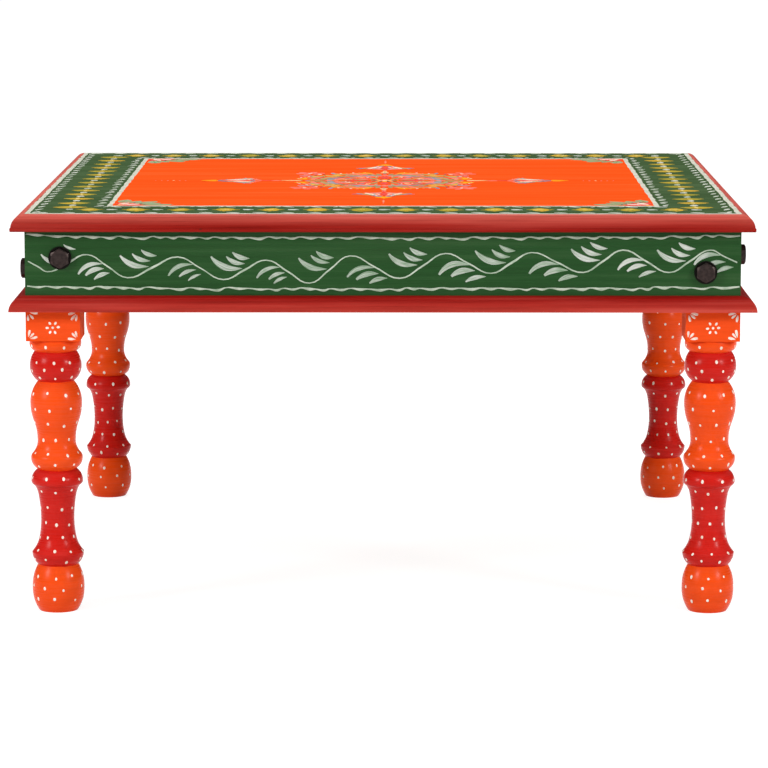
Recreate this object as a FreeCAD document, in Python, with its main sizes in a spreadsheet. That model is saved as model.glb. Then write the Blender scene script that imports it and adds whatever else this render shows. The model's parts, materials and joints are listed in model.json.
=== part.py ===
import FreeCAD, Part
import os
from math import atan2

import Sketcher
from FreeCAD import Placement, Rotation, Vector

# Every size of the table that can be set by itself, in millimetres
SIZES = {
    # square box of rails under the top
    "box_side": 527,
    "rail_height": 60,
    "rail_thickness": 12,
    # top and the moulding round its edge
    "top_thickness": 11.5,
    "top_moulding_width": 10,
    "quirk_width": 0.6,
    "lip_height": 2.6,
    "lip_width": 3,
    "lip_drop": 1,
    "lip_round": 1,
    # moulding round the foot of the rails
    "base_moulding_width": 11.5,
    "base_moulding_height": 11.2,
    # lengths of the leg, from the floor up
    "foot_height": 35,
    "spool_height": 72.2,
    "vase_height": 66.3,
    "bead_height": 22.7,
    "collar_height": 9.3,
    "block_height": 23,
    "leg_square": 40,
    # radii of the turning
    "pad_radius": 14.5,
    "foot_radius": 19.4,
    "swell_radius": 19.3,
    "foot_neck_radius": 15,
    "spool_waist_radius": 12.4,
    "vase_neck_radius": 14.2,
    "vase_waist_radius": 14.2,
    "bead_neck_radius": 13.4,
    "collar_neck_radius": 15.4,
    # bolts that hold the legs, with their washers and nuts
    "bolt_diameter": 8,
    "bolt_end": 3,
    "low_bolt_rise": 28.5,
    "bolt_step": 10.5,
    "head_width": 13,
    "head_height": 3.8,
    "head_crown": 12,
    "head_chamfer": 1.4,
    "washer_width": 17,
    "washer_thickness": 1.6,
    "nut_width": 13,
    "nut_height": 6.5,
    # strips and boards under the top, and their screws
    "cleat_side": 15,
    "spanner_room": 25,
    "batten_width": 40,
    "batten_step": 180,
    "batten_gap": 0.5,
    "screw_length": 24,
    "screw_diameter": 3.5,
    "screw_head_width": 7,
    "screw_head_height": 2.2,
    "hole_clearance": 0.1,
}

SIDES = ("back", "left", "front", "right")
CORNERS = ("back_right", "back_left", "front_left", "front_right")
CORNER_SIGNS = ((1, 1), (-1, 1), (-1, -1), (1, -1))
QUARTER_TURN = 90
FULL_TURN = 360
PLANKS = 5
HEX_SIDES = 6

# Heights where the turning changes, as shares of each length of the leg
FOOT_ROUND_SHARE = 0.46
FOOT_SIDE_SHARE = 0.54
SPOOL_SWELL_SHARE = 0.13
SPOOL_LOW_EASE_SHARE = 0.267
SPOOL_WAIST_SHARE = 0.47
SPOOL_HIGH_EASE_SHARE = 0.752
SPOOL_UNDERCUT_SHARE = 0.834
SPOOL_ROLL_SHARE = 0.877
VASE_SWELL_SHARE = 0.13
VASE_FLARE_SHARE = 0.172
VASE_WAIST_SHARE = 0.329
VASE_BELLY_SHARE = 0.757
BEAD_SHARE = 0.511
COLLAR_SHARE = 0.593

# Radii between a waist or neck and the swell, as shares of that difference
LOW_EASE_RADIUS_SHARE = 0.246
HIGH_EASE_RADIUS_SHARE = 0.29
UNDERCUT_RADIUS_SHARE = 0.7
FLARE_RADIUS_SHARE = 0.82
HALF_SHARE = 0.5
COLLAR_TOP_RADIUS_SHARE = 0.85

# Places of the screws along a cleat, as shares of its length
CLEAT_TOP_SCREW_SHARES = (-0.33, 0, 0.33)
CLEAT_RAIL_SCREW_SHARES = (-0.18, 0.18)

# Heights and places that follow from the sizes
FOOT_TOP = "Sizes.foot_height"
SPOOL_TOP = f"({FOOT_TOP} + Sizes.spool_height)"
VASE_TOP = f"({SPOOL_TOP} + Sizes.vase_height)"
BEAD_TOP = f"({VASE_TOP} + Sizes.bead_height)"
COLLAR_TOP = f"({BEAD_TOP} + Sizes.collar_height)"
SHOULDER = f"({COLLAR_TOP} + Sizes.block_height)"
TOP_UNDERSIDE = f"({SHOULDER} + Sizes.rail_height)"
HALF_BOX = "(Sizes.box_side / 2)"
RAIL_INSIDE = f"({HALF_BOX} - Sizes.rail_thickness)"
CLEAT_INSIDE = f"({RAIL_INSIDE} - Sizes.cleat_side)"
CLEAT_BOTTOM = f"({TOP_UNDERSIDE} - Sizes.cleat_side)"
CLEAT_LENGTH = "(Sizes.box_side - 2 * Sizes.leg_square - 2 * Sizes.spanner_room)"
HALF_LEG = "(Sizes.leg_square / 2)"
POST_INSIDE = f"({HALF_BOX} - Sizes.leg_square)"
BOLT_ACROSS = f"({HALF_BOX} - (Sizes.leg_square + Sizes.rail_thickness) / 2)"
LOW_BOLT = f"({SHOULDER} + Sizes.low_bolt_rise)"
HIGH_BOLT = f"({LOW_BOLT} + Sizes.bolt_step)"
UNDER_HEAD = f"({HALF_BOX} + Sizes.washer_thickness)"
BOLT_HOLE = "(Sizes.bolt_diameter + Sizes.hole_clearance)"
SCREW_HOLE = "(Sizes.screw_diameter + Sizes.hole_clearance)"
SCREW_HEAD_HOLE = "(Sizes.screw_head_width + Sizes.hole_clearance)"
HALF_BATTENS = "(Sizes.batten_step / 2)"
PILOT_DEPTH = "(Sizes.screw_length - Sizes.cleat_side + Sizes.hole_clearance)"

doc = FreeCAD.newDocument("CoffeeTable")
sheet = doc.addObject("Spreadsheet::Sheet", "Sizes")
for row, (alias, value) in enumerate(SIZES.items(), start=1):
    sheet.set(f"A{row}", alias)
    sheet.set(f"B{row}", str(value))
    sheet.setAlias(f"B{row}", alias)
doc.recompute()

nodes = []


def number(formula):
    """The value that a formula of the sheet's sizes has now."""
    return float(sheet.evalExpression(formula))


def between(low, high, share):
    """A formula for the place that lies a share of the way from low to high."""
    return f"({low} + {share} * ({high} - {low}))"


def quarter_turned(x, y, turns):
    """The formulas of a place in plan after some quarter turns about the table's middle."""
    for _ in range(turns):
        x, y = f"-({y})", x
    return x, y


def new_body(label):
    """An empty body, which becomes the node of that name."""
    body = doc.addObject("PartDesign::Body", label)
    body.Label = label
    nodes.append(body)
    return body


def origin_feature(body, role):
    """One of the body's own origin planes or axes."""
    return next(feature for feature in body.Origin.OriginFeatures if feature.Role == role)


def new_sketch(body, plane, lift="0"):
    """A sketch on one of the body's planes, lifted along that plane's normal."""
    sketch = body.newObject("Sketcher::SketchObject", f"{body.Label}_sketch")
    sketch.AttachmentSupport = [(origin_feature(body, plane), "")]
    sketch.MapMode = "FlatFace"
    sketch.setExpression("AttachmentOffset.Base.z", lift)
    return sketch


def pin(sketch, curve, point, x, y):
    """Hold one point of a curve at the place that two formulas give."""
    for kind, formula in (("DistanceX", x), ("DistanceY", y)):
        index = sketch.addConstraint(Sketcher.Constraint(kind, -1, 1, curve, point, number(formula)))
        sketch.setExpression(f"Constraints[{index}]", formula)


def draw_circle(sketch, x, y, diameter):
    """A circle whose middle and diameter follow formulas."""
    middle = Vector(number(x), number(y), 0)
    curve = sketch.addGeometry(Part.Circle(middle, Vector(0, 0, 1), number(diameter) / 2))
    pin(sketch, curve, 3, x, y)
    index = sketch.addConstraint(Sketcher.Constraint("Diameter", curve, number(diameter)))
    sketch.setExpression(f"Constraints[{index}]", diameter)


def draw_hexagon(sketch, x, y, across_flats, first_share):
    """A hexagon. Its first corner is a share of a side on from the lowest point."""
    radius = f"({across_flats}) / 2 / cos({FULL_TURN / 2 / HEX_SIDES})"
    angles = [FULL_TURN * (corner + first_share) / HEX_SIDES for corner in range(HEX_SIDES)]
    corners = [(f"{x} + {radius} * sin({angle})", f"{y} - {radius} * cos({angle})") for angle in angles]
    draw_outline(sketch, [(across, up, "line") for across, up in corners])


def upright_centre(upright, other):
    """The middle of the arc through two points that is upright at the first of them."""
    chord = other - upright
    return Vector(upright.x + chord.dot(chord) / (2 * chord.x), upright.y, 0)


def smooth_centre(joint, other, next_centre):
    """The middle of the arc from joint to other that is smooth with a neighbour arc at joint."""
    normal = next_centre - joint
    chord = other - joint
    return joint + normal * (chord.dot(chord) / (2 * chord.dot(normal)))


def draw_outline(sketch, steps):
    """A closed outline. Each step is a point and the edge from it to the next point:
    a line, or an arc that leaves or meets its point upright, carries on smoothly from the edge
    before it, or runs smoothly into the edge after it."""
    count = len(steps)
    places = [Vector(number(x), number(y), 0) for x, y, _ in steps]
    ends = [places[(index + 1) % count] for index in range(count)]
    kinds = [kind for _, _, kind in steps]
    centres = [None] * count
    for index, kind in enumerate(kinds):
        if kind == "leaves upright":
            centres[index] = upright_centre(places[index], ends[index])
        elif kind == "meets upright":
            centres[index] = upright_centre(ends[index], places[index])
    for index, kind in enumerate(kinds):
        if kind == "carries on":
            centres[index] = smooth_centre(places[index], ends[index], centres[index - 1])
        elif kind == "runs into":
            centres[index] = smooth_centre(ends[index], places[index], centres[index + 1])

    curves = []
    starts = []
    for start, end, centre in zip(places, ends, centres):
        forward = True
        if centre is None:
            curve = Part.LineSegment(start, end)
        else:
            forward = (start - centre).cross(end - centre).z > 0
            first, last = (start, end) if forward else (end, start)
            circle = Part.Circle(centre, Vector(0, 0, 1), (start - centre).Length)
            first_angle = atan2(first.y - centre.y, first.x - centre.x)
            last_angle = atan2(last.y - centre.y, last.x - centre.x)
            curve = Part.ArcOfCircle(circle, first_angle, last_angle)
        curves.append(sketch.addGeometry(curve))
        starts.append(1 if forward else 2)

    for index, (x, y, kind) in enumerate(steps):
        after = (index + 1) % count
        end = 3 - starts[index]
        smooth = kind == "runs into" or kinds[after] == "carries on"
        joint = "Tangent" if smooth else "Coincident"
        sketch.addConstraint(Sketcher.Constraint(joint, curves[index], end, curves[after], starts[after]))
        pin(sketch, curves[index], starts[index], x, y)
        if kind == "leaves upright":
            sketch.addConstraint(Sketcher.Constraint("Horizontal", curves[index], 3, curves[index], starts[index]))
        elif kind == "meets upright":
            sketch.addConstraint(Sketcher.Constraint("Horizontal", curves[index], 3, curves[index], end))


def draw_rectangle(sketch, low_x, low_y, high_x, high_y):
    """A rectangle between two opposite corners."""
    corners = ((low_x, low_y), (high_x, low_y), (high_x, high_y), (low_x, high_y))
    draw_outline(sketch, [(x, y, "line") for x, y in corners])


def pad(body, sketch, length, against_normal=False, both_ways=False, taper=None):
    """Material raised from a sketch, narrowing by the taper where one is given."""
    feature = body.newObject("PartDesign::Pad", f"{body.Label}_pad")
    feature.Profile = sketch
    feature.setExpression("Length", length)
    feature.Reversed = against_normal
    feature.SideType = "Symmetric" if both_ways else "One side"
    if taper:
        feature.setExpression("TaperAngle", f"-({taper})")
    doc.recompute()
    return feature


def pocket(body, sketch, depth=None, along_normal=False, taper=None):
    """Material cut away from a sketch, right through the body where no depth is given."""
    before = body.Shape.Volume
    feature = body.newObject("PartDesign::Pocket", f"{body.Label}_pocket")
    feature.Profile = sketch
    if depth:
        feature.setExpression("Length", depth)
        feature.Reversed = along_normal
    else:
        feature.Type = "ThroughAll"
        feature.SideType = "Symmetric"
    if taper:
        feature.setExpression("TaperAngle", f"-({taper})")
    doc.recompute()
    if not body.Shape.Volume < before:
        raise RuntimeError(f"a cut in {body.Label} removes nothing")
    return feature


def repeat_round(body, features, copies):
    """Copies of some features, evenly spaced round the table's middle."""
    pattern = body.newObject("PartDesign::PolarPattern", f"{body.Label}_pattern")
    pattern.Originals = features
    pattern.Axis = (origin_feature(body, "Z_Axis"), [""])
    pattern.Angle = FULL_TURN
    pattern.Occurrences = copies
    body.Tip = pattern
    doc.recompute()


def turn_to_side(body, turns):
    """Turn a piece that is drawn at the back of the table to its own side."""
    body.Placement = Placement(Vector(0, 0, 0), Rotation(Vector(0, 0, 1), turns * QUARTER_TURN))


def taper_angle(wide, narrow, length):
    """The formula of the angle at which a round or many-sided end narrows."""
    return f"atan(({wide} - {narrow}) / 2 / {length})"


SCREW_TAPER = taper_angle("Sizes.screw_head_width", "Sizes.screw_diameter", "Sizes.screw_head_height")
CROWN_TAPER = taper_angle("Sizes.head_crown", "Sizes.washer_width", "Sizes.head_chamfer")


def countersunk_holes(body, plane, lift, places, through):
    """Screw holes with countersunk mouths, cut from a plane along or against its normal."""
    shanks = new_sketch(body, plane, lift)
    mouths = new_sketch(body, plane, lift)
    for x, y in places:
        draw_circle(shanks, x, y, SCREW_HOLE)
        draw_circle(mouths, x, y, SCREW_HEAD_HOLE)
    pocket(body, shanks)
    pocket(body, mouths, "Sizes.screw_head_height", along_normal=through, taper=SCREW_TAPER)


def cleat_top_places():
    """Where a back cleat's screws go up into the top, in plan."""
    middle = between(CLEAT_INSIDE, RAIL_INSIDE, HALF_SHARE)
    return [(f"{share} * {CLEAT_LENGTH}", middle) for share in CLEAT_TOP_SCREW_SHARES]


def cleat_rail_places():
    """Where a back cleat's screws go into its rail, seen square on."""
    middle = between(CLEAT_BOTTOM, TOP_UNDERSIDE, HALF_SHARE)
    return [(f"{share} * {CLEAT_LENGTH}", middle) for share in CLEAT_RAIL_SCREW_SHARES]


def plank_edge(index):
    """The front edge of a plank, counted from the front of the table."""
    return between(f"-{HALF_BOX}", HALF_BOX, index / PLANKS)


def plank_middle(index):
    """The middle line of a plank, counted from the front of the table."""
    return between(plank_edge(index), plank_edge(index + 1), HALF_SHARE)


def make_plank(index):
    """One board of the top, with pilot holes in its underside."""
    body = new_body(f"top_plank_{index + 1}")
    board = new_sketch(body, "XY_Plane", TOP_UNDERSIDE)
    draw_rectangle(board, f"-{HALF_BOX}", plank_edge(index), HALF_BOX, plank_edge(index + 1))
    pad(body, board, "Sizes.top_thickness")
    pilots = new_sketch(body, "XY_Plane", TOP_UNDERSIDE)
    for offset in (f"-{HALF_BATTENS}", HALF_BATTENS):
        draw_circle(pilots, offset, plank_middle(index), SCREW_HOLE)
    for turns in range(len(SIDES)):
        for x, y in cleat_top_places():
            draw_circle(pilots, *quarter_turned(x, y, turns), SCREW_HOLE)
    pocket(body, pilots, PILOT_DEPTH, along_normal=True)


def cut_mitres(body, reach):
    """Cut both ends of a back strip at 45 degrees, through the corners of the rail box."""
    corner = f"({HALF_BOX} + {reach})"
    ends = new_sketch(body, "XY_Plane")
    for sign in ("", "-"):
        inner = (f"{sign}{HALF_BOX}", HALF_BOX, "line")
        outer = (f"{sign}{corner}", corner, "line")
        square = (f"{sign}{corner}", HALF_BOX, "line")
        draw_outline(ends, [inner, outer, square])
    pocket(body, ends)


def make_top_moulding(side, turns):
    """A rounded strip along the edge of the top: a quarter round, a quirk and a lip that drops a little."""
    body = new_body(f"top_moulding_{side}")
    lip_bottom = f"({TOP_UNDERSIDE} - Sizes.lip_drop)"
    quirk = f"({lip_bottom} + Sizes.lip_height)"
    face = f"({HALF_BOX} + Sizes.top_moulding_width)"
    section = new_sketch(body, "YZ_Plane")
    draw_outline(section, [
        (HALF_BOX, TOP_UNDERSIDE, "line"),
        (f"({face} - Sizes.lip_width)", TOP_UNDERSIDE, "line"),
        (f"({face} - Sizes.lip_width)", lip_bottom, "line"),
        (f"({face} - Sizes.lip_round)", lip_bottom, "meets upright"),
        (face, f"({lip_bottom} + Sizes.lip_round)", "line"),
        (face, quirk, "line"),
        (f"({face} - Sizes.quirk_width)", quirk, "leaves upright"),
        (HALF_BOX, f"({TOP_UNDERSIDE} + Sizes.top_thickness)", "line"),
    ])
    pad(body, section, "Sizes.box_side + 2 * Sizes.top_moulding_width", both_ways=True)
    cut_mitres(body, "Sizes.top_moulding_width")
    turn_to_side(body, turns)


def make_base_moulding(side, turns):
    """A quarter-round strip along the foot of a rail."""
    body = new_body(f"base_moulding_{side}")
    section = new_sketch(body, "YZ_Plane")
    draw_outline(section, [
        (HALF_BOX, SHOULDER, "line"),
        (f"({HALF_BOX} + Sizes.base_moulding_width)", SHOULDER, "leaves upright"),
        (HALF_BOX, f"({SHOULDER} + Sizes.base_moulding_height)", "line"),
    ])
    pad(body, section, "Sizes.box_side + 2 * Sizes.base_moulding_width", both_ways=True)
    cut_mitres(body, "Sizes.base_moulding_width")
    turn_to_side(body, turns)


def make_rail(side, turns):
    """One mitred board of the apron, with holes for its two bolts and its cleat's screws."""
    body = new_body(f"rail_{side}")
    plan = new_sketch(body, "XY_Plane", SHOULDER)
    draw_outline(plan, [
        (f"-{HALF_BOX}", HALF_BOX, "line"),
        (f"-{RAIL_INSIDE}", RAIL_INSIDE, "line"),
        (RAIL_INSIDE, RAIL_INSIDE, "line"),
        (HALF_BOX, HALF_BOX, "line"),
    ])
    pad(body, plan, "Sizes.rail_height")
    holes = new_sketch(body, "XZ_Plane")
    draw_circle(holes, BOLT_ACROSS, HIGH_BOLT, BOLT_HOLE)
    draw_circle(holes, f"-{BOLT_ACROSS}", LOW_BOLT, BOLT_HOLE)
    pocket(body, holes)
    pilots = new_sketch(body, "XZ_Plane", f"-{RAIL_INSIDE}")
    for x, z in cleat_rail_places():
        draw_circle(pilots, x, z, SCREW_HOLE)
    pocket(body, pilots, PILOT_DEPTH)
    turn_to_side(body, turns)


def make_cleat(side, turns):
    """A square strip in the angle between a rail and the top, screwed to both."""
    body = new_body(f"cleat_{side}")
    plan = new_sketch(body, "XY_Plane", CLEAT_BOTTOM)
    draw_rectangle(plan, f"-{CLEAT_LENGTH} / 2", CLEAT_INSIDE, f"{CLEAT_LENGTH} / 2", RAIL_INSIDE)
    pad(body, plan, "Sizes.cleat_side")
    countersunk_holes(body, "XY_Plane", CLEAT_BOTTOM, cleat_top_places(), through=True)
    countersunk_holes(body, "XZ_Plane", f"-{CLEAT_INSIDE}", cleat_rail_places(), through=False)
    turn_to_side(body, turns)


def batten_screw_places(side):
    """Where a batten's screws go up into the planks, in plan."""
    return [(f"{side} * {HALF_BATTENS}", plank_middle(index)) for index in range(PLANKS)]


def make_batten(name, side):
    """A board across the planks, between the front and back cleats."""
    body = new_body(f"batten_{name}")
    middle = f"{side} * {HALF_BATTENS}"
    half_width = "Sizes.batten_width / 2"
    half_length = f"({CLEAT_INSIDE} - Sizes.batten_gap)"
    plan = new_sketch(body, "XY_Plane", CLEAT_BOTTOM)
    draw_rectangle(plan, f"{middle} - {half_width}", f"-{half_length}", f"{middle} + {half_width}", half_length)
    pad(body, plan, "Sizes.cleat_side")
    countersunk_holes(body, "XY_Plane", CLEAT_BOTTOM, batten_screw_places(side), through=True)


def leg_outline():
    """Half of the turning, from the floor up: ball foot, spool, vase, bead and collar."""
    swell = "Sizes.swell_radius"
    spool_waist = "Sizes.spool_waist_radius"
    vase_waist = "Sizes.vase_waist_radius"
    collar_neck = "Sizes.collar_neck_radius"

    def spool(share):
        return between(FOOT_TOP, SPOOL_TOP, share)

    def vase(share):
        return between(SPOOL_TOP, VASE_TOP, share)

    vase_bend_share = (VASE_WAIST_SHARE + VASE_BELLY_SHARE) / 2
    return [
        ("0", "0", "line"),
        ("Sizes.pad_radius", "0", "meets upright"),
        ("Sizes.foot_radius", between("0", FOOT_TOP, FOOT_ROUND_SHARE), "line"),
        ("Sizes.foot_radius", between("0", FOOT_TOP, FOOT_SIDE_SHARE), "leaves upright"),
        ("Sizes.foot_neck_radius", FOOT_TOP, "meets upright"),
        (swell, spool(SPOOL_SWELL_SHARE), "runs into"),
        (between(spool_waist, swell, LOW_EASE_RADIUS_SHARE), spool(SPOOL_LOW_EASE_SHARE), "meets upright"),
        (spool_waist, spool(SPOOL_WAIST_SHARE), "leaves upright"),
        (between(spool_waist, swell, HIGH_EASE_RADIUS_SHARE), spool(SPOOL_HIGH_EASE_SHARE), "carries on"),
        (between(spool_waist, swell, UNDERCUT_RADIUS_SHARE), spool(SPOOL_UNDERCUT_SHARE), "meets upright"),
        (swell, spool(SPOOL_ROLL_SHARE), "leaves upright"),
        ("Sizes.vase_neck_radius", SPOOL_TOP, "meets upright"),
        (swell, vase(VASE_SWELL_SHARE), "leaves upright"),
        (between(vase_waist, swell, FLARE_RADIUS_SHARE), vase(VASE_FLARE_SHARE), "meets upright"),
        (vase_waist, vase(VASE_WAIST_SHARE), "leaves upright"),
        (between(vase_waist, swell, HALF_SHARE), vase(vase_bend_share), "meets upright"),
        (swell, vase(VASE_BELLY_SHARE), "leaves upright"),
        ("Sizes.bead_neck_radius", VASE_TOP, "meets upright"),
        (swell, between(VASE_TOP, BEAD_TOP, BEAD_SHARE), "leaves upright"),
        (collar_neck, BEAD_TOP, "meets upright"),
        (swell, between(BEAD_TOP, COLLAR_TOP, COLLAR_SHARE), "leaves upright"),
        (between(collar_neck, swell, COLLAR_TOP_RADIUS_SHARE), COLLAR_TOP, "line"),
        ("0", COLLAR_TOP, "line"),
    ]


def make_leg(corner, turns):
    """A turned leg. Its square block carries the rails, and the post above it is cut back by their
    thickness, so that block and rails lie flush outside."""
    body = new_body(f"leg_{corner}")
    profile = new_sketch(body, "XZ_Plane")
    draw_outline(profile, leg_outline())
    turning = body.newObject("PartDesign::Revolution", f"{body.Label}_turning")
    turning.Profile = profile
    turning.ReferenceAxis = (profile, ["V_Axis"])
    turning.Angle = FULL_TURN
    doc.recompute()
    block = new_sketch(body, "XY_Plane", COLLAR_TOP)
    draw_rectangle(block, f"-{HALF_LEG}", f"-{HALF_LEG}", HALF_LEG, HALF_LEG)
    pad(body, block, "Sizes.block_height")
    post = new_sketch(body, "XY_Plane", SHOULDER)
    post_outside = f"({HALF_LEG} - Sizes.rail_thickness)"
    draw_rectangle(post, f"-{HALF_LEG}", f"-{HALF_LEG}", post_outside, post_outside)
    pad(body, post, "Sizes.rail_height")
    for plane, height in (("XZ_Plane", HIGH_BOLT), ("YZ_Plane", LOW_BOLT)):
        hole = new_sketch(body, plane)
        draw_circle(hole, "-Sizes.rail_thickness / 2", height, BOLT_HOLE)
        pocket(body, hole)
    body.Placement = Placement(Vector(0, 0, 0), Rotation(Vector(0, 0, 1), turns * QUARTER_TURN))
    for axis, sign in zip("xy", CORNER_SIGNS[turns]):
        body.setExpression(f"Placement.Base.{axis}", f"{sign} * ({HALF_BOX} - {HALF_LEG})")


def bolt_places():
    """Where the two bolts of the back rail stand, seen square on."""
    return [(BOLT_ACROSS, HIGH_BOLT), (f"-{BOLT_ACROSS}", LOW_BOLT)]


def make_bolts():
    """Bolts through rail and post. Their six-sided heads stand on a corner, with a chamfered crown."""
    body = new_body("leg_bolts")
    heads = new_sketch(body, "XZ_Plane", f"-{UNDER_HEAD}")
    shanks = new_sketch(body, "XZ_Plane", f"-{UNDER_HEAD}")
    crowns = new_sketch(body, "XZ_Plane", f"-({UNDER_HEAD} + Sizes.head_height)")
    for x, z in bolt_places():
        draw_hexagon(heads, x, z, "Sizes.head_width", 0)
        draw_circle(shanks, x, z, "Sizes.bolt_diameter")
        draw_circle(crowns, x, z, "Sizes.head_crown")
        draw_circle(crowns, x, z, "2 * Sizes.head_width")
    reach = "Sizes.leg_square + 2 * Sizes.washer_thickness + Sizes.nut_height + Sizes.bolt_end"
    features = [
        pad(body, heads, "Sizes.head_height", against_normal=True),
        pad(body, shanks, reach),
        pocket(body, crowns, "Sizes.head_chamfer", along_normal=True, taper=CROWN_TAPER),
    ]
    repeat_round(body, features, len(SIDES))


def washer_rings(body, lift, against_normal):
    """Flat washers on the two bolts of each rail, raised from a plane."""
    rings = new_sketch(body, "XZ_Plane", lift)
    for x, z in bolt_places():
        draw_circle(rings, x, z, "Sizes.washer_width")
        draw_circle(rings, x, z, BOLT_HOLE)
    repeat_round(body, [pad(body, rings, "Sizes.washer_thickness", against_normal)], len(SIDES))


def make_washers():
    """A flat washer under each bolt's head, on the rail, and one under its nut, on the post."""
    washer_rings(new_body("head_washers"), f"-{HALF_BOX}", True)
    washer_rings(new_body("bolt_washers"), f"-{POST_INSIDE}", False)


def make_nuts():
    """A six-sided nut on the inner end of each bolt."""
    body = new_body("bolt_nuts")
    nuts = new_sketch(body, "XZ_Plane", f"-({POST_INSIDE} - Sizes.washer_thickness)")
    for x, z in bolt_places():
        draw_hexagon(nuts, x, z, "Sizes.nut_width", HALF_SHARE)
        draw_circle(nuts, x, z, BOLT_HOLE)
    repeat_round(body, [pad(body, nuts, "Sizes.nut_height")], len(SIDES))


def screw_pads(body, plane, lift, places, against_normal):
    """Countersunk screws that start at a plane: their heads and their shanks."""
    heads = new_sketch(body, plane, lift)
    shanks = new_sketch(body, plane, lift)
    for x, y in places:
        draw_circle(heads, x, y, "Sizes.screw_head_width")
        draw_circle(shanks, x, y, "Sizes.screw_diameter")
    return [
        pad(body, heads, "Sizes.screw_head_height", against_normal=against_normal, taper=SCREW_TAPER),
        pad(body, shanks, "Sizes.screw_length", against_normal=against_normal),
    ]


def make_cleat_screws():
    """The screws that hold the cleats to the top and to the rails."""
    body = new_body("cleat_screws")
    features = screw_pads(body, "XY_Plane", CLEAT_BOTTOM, cleat_top_places(), False)
    features += screw_pads(body, "XZ_Plane", f"-{CLEAT_INSIDE}", cleat_rail_places(), True)
    repeat_round(body, features, len(SIDES))


def make_batten_screws():
    """The screws that hold the battens to the planks."""
    body = new_body("batten_screws")
    places = batten_screw_places(1) + batten_screw_places(-1)
    screw_pads(body, "XY_Plane", CLEAT_BOTTOM, places, False)


for plank in range(PLANKS):
    make_plank(plank)
for turns, side in enumerate(SIDES):
    make_top_moulding(side, turns)
    make_rail(side, turns)
    make_base_moulding(side, turns)
    make_cleat(side, turns)
for turns, corner in enumerate(CORNERS):
    make_leg(corner, turns)
make_batten("right", 1)
make_batten("left", -1)
make_bolts()
make_washers()
make_nuts()
make_cleat_screws()
make_batten_screws()
doc.recompute()

for item in doc.Objects:
    if "Invalid" in item.State or "Error" in item.State:
        raise RuntimeError(f"{item.Label} failed: {item.State}")
for node in nodes:
    if node.Shape.isNull() or not node.Shape.isValid():
        raise RuntimeError(f"{node.Label} has no valid shape")

os.makedirs("parts", exist_ok=True)
for node in nodes:
    node.Shape.exportStep(f"parts/{node.Label}.step")
    print(node.Label, len(node.Shape.Solids), "solids", round(node.Shape.Volume), "mm3")
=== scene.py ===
import json
import math
import random

import bpy
from mathutils import Matrix, Vector


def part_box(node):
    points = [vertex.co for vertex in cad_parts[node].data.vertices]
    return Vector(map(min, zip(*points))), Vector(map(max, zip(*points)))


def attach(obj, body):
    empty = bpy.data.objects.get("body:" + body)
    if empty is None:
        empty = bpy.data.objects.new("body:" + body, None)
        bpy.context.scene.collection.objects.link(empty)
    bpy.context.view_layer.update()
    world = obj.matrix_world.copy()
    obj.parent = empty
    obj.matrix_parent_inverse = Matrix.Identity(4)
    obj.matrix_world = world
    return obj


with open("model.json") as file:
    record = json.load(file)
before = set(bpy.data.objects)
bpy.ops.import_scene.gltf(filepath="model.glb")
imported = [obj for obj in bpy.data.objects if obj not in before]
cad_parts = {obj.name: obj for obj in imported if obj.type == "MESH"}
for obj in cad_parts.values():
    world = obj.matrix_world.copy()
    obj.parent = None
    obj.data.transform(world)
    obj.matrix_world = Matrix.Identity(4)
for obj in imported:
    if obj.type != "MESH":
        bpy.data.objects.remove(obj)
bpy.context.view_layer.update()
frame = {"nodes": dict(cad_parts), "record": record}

MM = 0.001
QUARTER = math.pi / 2
SIDES = ("front", "right", "back", "left")
CORNERS = ("front_left", "front_right", "back_right", "back_left")

# Places on the table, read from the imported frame
RAIL_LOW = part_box("rail_front")[0]
FACE = -RAIL_LOW[1]
RAIL_FOOT = RAIL_LOW[2]
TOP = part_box("top_plank_1")[1][2]
LEG_LOW, LEG_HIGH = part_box("leg_front_left")
LEG_SQUARE = LEG_HIGH[0] - LEG_LOW[0]
LEG_AXIS = FACE - LEG_SQUARE / 2
BLOCK_FOOT = 205.5 * MM

# Heights on a leg where one colour of paint gives way to the next, from the floor up
FOOT_TOP = 35 * MM
SPOOL_TOP = 107.2 * MM
VASE_TOP = 173.5 * MM
BEAD_TOP = 196.2 * MM

# The painted top: an orange field inside a green border, parted by white lines
FIELD_HALF = 203.5 * MM
LINE_WIDTH = 3.7 * MM
BORDER_MIDDLE = (FACE + FIELD_HALF) / 2

# How far a dab of paint stands out, and how far all paint is sunk so that it never floats
RELIEF = 0.28 * MM
SINK = 0.06 * MM
# How far the edge of a stroke stands out, how much further its ridge does, and how far a line does
STROKE_EDGE = RELIEF * 0.55
STROKE_RIDGE = RELIEF * 0.45
LINE_RELIEF = RELIEF * 0.8
# Where the random draws of each kind of ornament start
VINE_SEED = 11
LEG_SEED = 40
TOP_LINE_SEED = 70
BORDER_SEED = 90
FIELD_SEED = 5


def rgb(red, green, blue):
    """A colour named as on a screen, turned into the linear values that a shader takes."""
    shares = [value / 255 for value in (red, green, blue)]
    curved = [((share + 0.055) / 1.055) ** 2.4 for share in shares]
    linear = [share / 12.92 if share <= 0.04045 else bent for share, bent in zip(shares, curved)]
    return (*linear, 1.0)


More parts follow.
